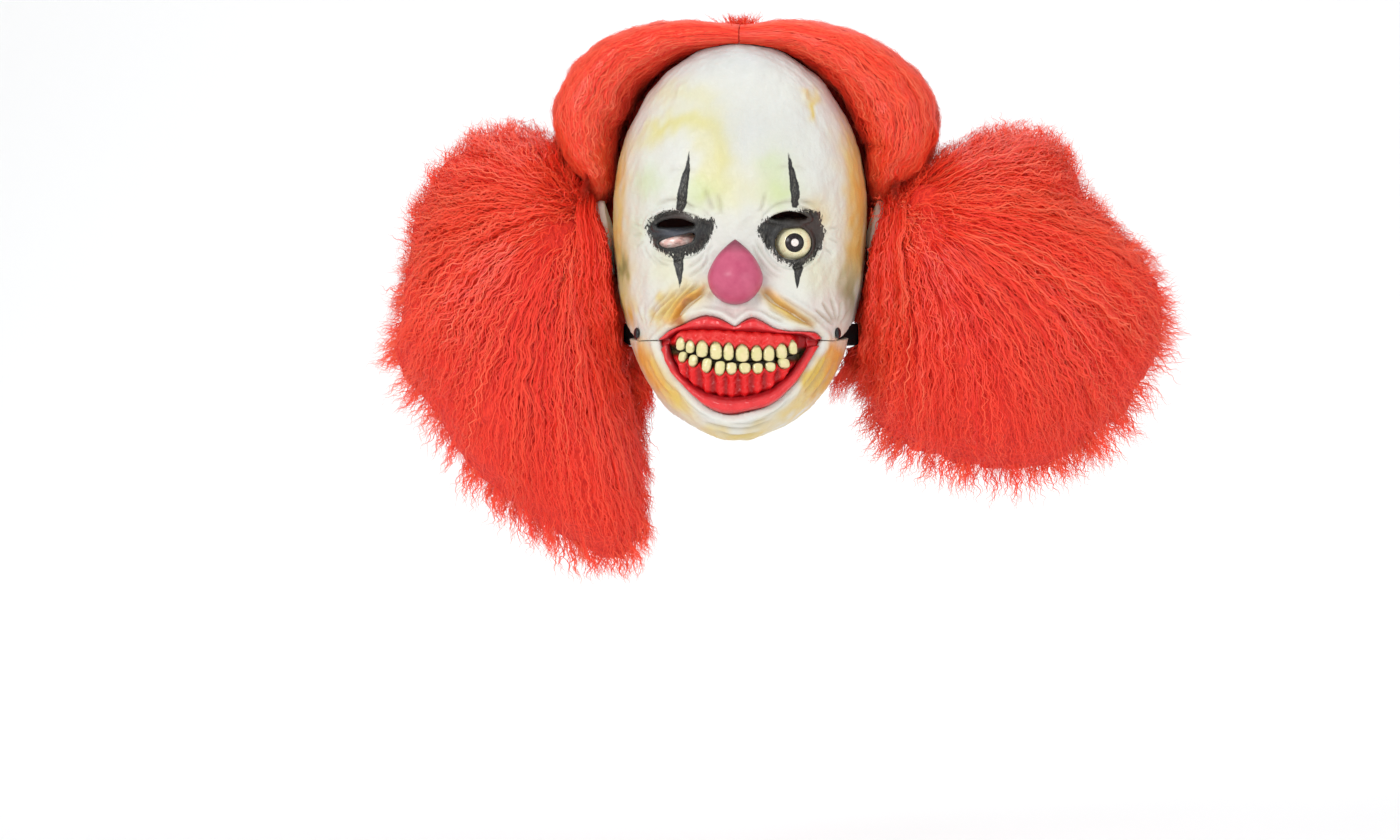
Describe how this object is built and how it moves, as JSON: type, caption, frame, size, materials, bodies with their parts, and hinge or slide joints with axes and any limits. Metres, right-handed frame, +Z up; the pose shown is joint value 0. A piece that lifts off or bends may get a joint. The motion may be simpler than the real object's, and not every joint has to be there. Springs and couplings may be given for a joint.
{
  "type": "latex clown mask with wig",
  "caption": "Full-face white latex clown mask with painted features, a moving jaw with bared teeth, and a bunched red wig.",
  "frame": {"origin": "centre of the wearer's head, level with the eyes and midway between front and back of the mask", "axes": "+Z up, the face looks along -Y, +X to the right of a person looking at the face"},
  "size_m": [0.55, 0.242, 0.3918],
  "materials": {
    "white_latex": "satin white paint on latex, tinted yellow, orange and green in the folds",
    "nose_latex": "satin pink-magenta paint",
    "lip_red": "gloss red paint",
    "gum_red": "wet-look red paint",
    "tooth_cream": "cream with green-brown staining at the edges",
    "eyeball_paint": "glossy cream yellow",
    "pink_paint": "glossy pinkish white",
    "black_paint": "black paint",
    "hair_red": "crimped synthetic hair, orange red",
    "cap_fabric": "dark red knitted mesh",
    "black_elastic": "woven black elastic",
    "foam_pad": "charcoal foam",
    "stud_metal": "black lacquer"
  },
  "bodies": {
    "mask": {"face_shell": "white_latex", "ear_left": "white_latex", "ear_right": "white_latex", "nose": "nose_latex", "bulging_eyeball": "eyeball_paint", "eyeball_iris": "black_paint", "eyeball_pupil": "pink_paint", "squint_eyeball": "pink_paint", "upper_lip": "lip_red", "upper_gum": "gum_red", "wig_cap": "cap_fabric", "top_hair_left": "hair_red", "top_hair_right": "hair_red", "parting_tuft": "hair_red", "side_puff_left": "hair_red", "side_puff_right": "hair_red", "back_hair": "hair_red", "hair_tie_left": "black_elastic", "hair_tie_right": "black_elastic", "nape_strap": "black_elastic", "stud_left": "stud_metal", "stud_right": "stud_metal", "forehead_pad": "foam_pad", "upper_tooth_1": "tooth_cream", "upper_tooth_2": "tooth_cream", "upper_tooth_3": "tooth_cream", "upper_tooth_4": "tooth_cream", "upper_tooth_5": "tooth_cream", "upper_tooth_6": "tooth_cream", "upper_tooth_7": "tooth_cream", "upper_tooth_8": "tooth_cream", "upper_tooth_9": "tooth_cream", "upper_tooth_10": "tooth_cream"},
    "jaw": {"jaw_shell": "white_latex", "lower_lip": "lip_red", "lower_gum": "gum_red", "chin_pad": "foam_pad", "lower_tooth_1": "tooth_cream", "lower_tooth_2": "tooth_cream", "lower_tooth_3": "tooth_cream", "lower_tooth_4": "tooth_cream", "lower_tooth_5": "tooth_cream", "lower_tooth_6": "tooth_cream", "lower_tooth_7": "tooth_cream", "lower_tooth_8": "tooth_cream", "lower_tooth_9": "tooth_cream"}
  },
  "joints": [
    {"name": "jaw_hinge", "type": "hinge", "parent": "mask", "child": "jaw", "pos_m": [0, -0.062, -0.069], "axis": [1, 0, 0], "range_deg": [0, 12], "stiffness_Nm_per_rad": 0.08, "springref_deg": -20.05}
  ]
}
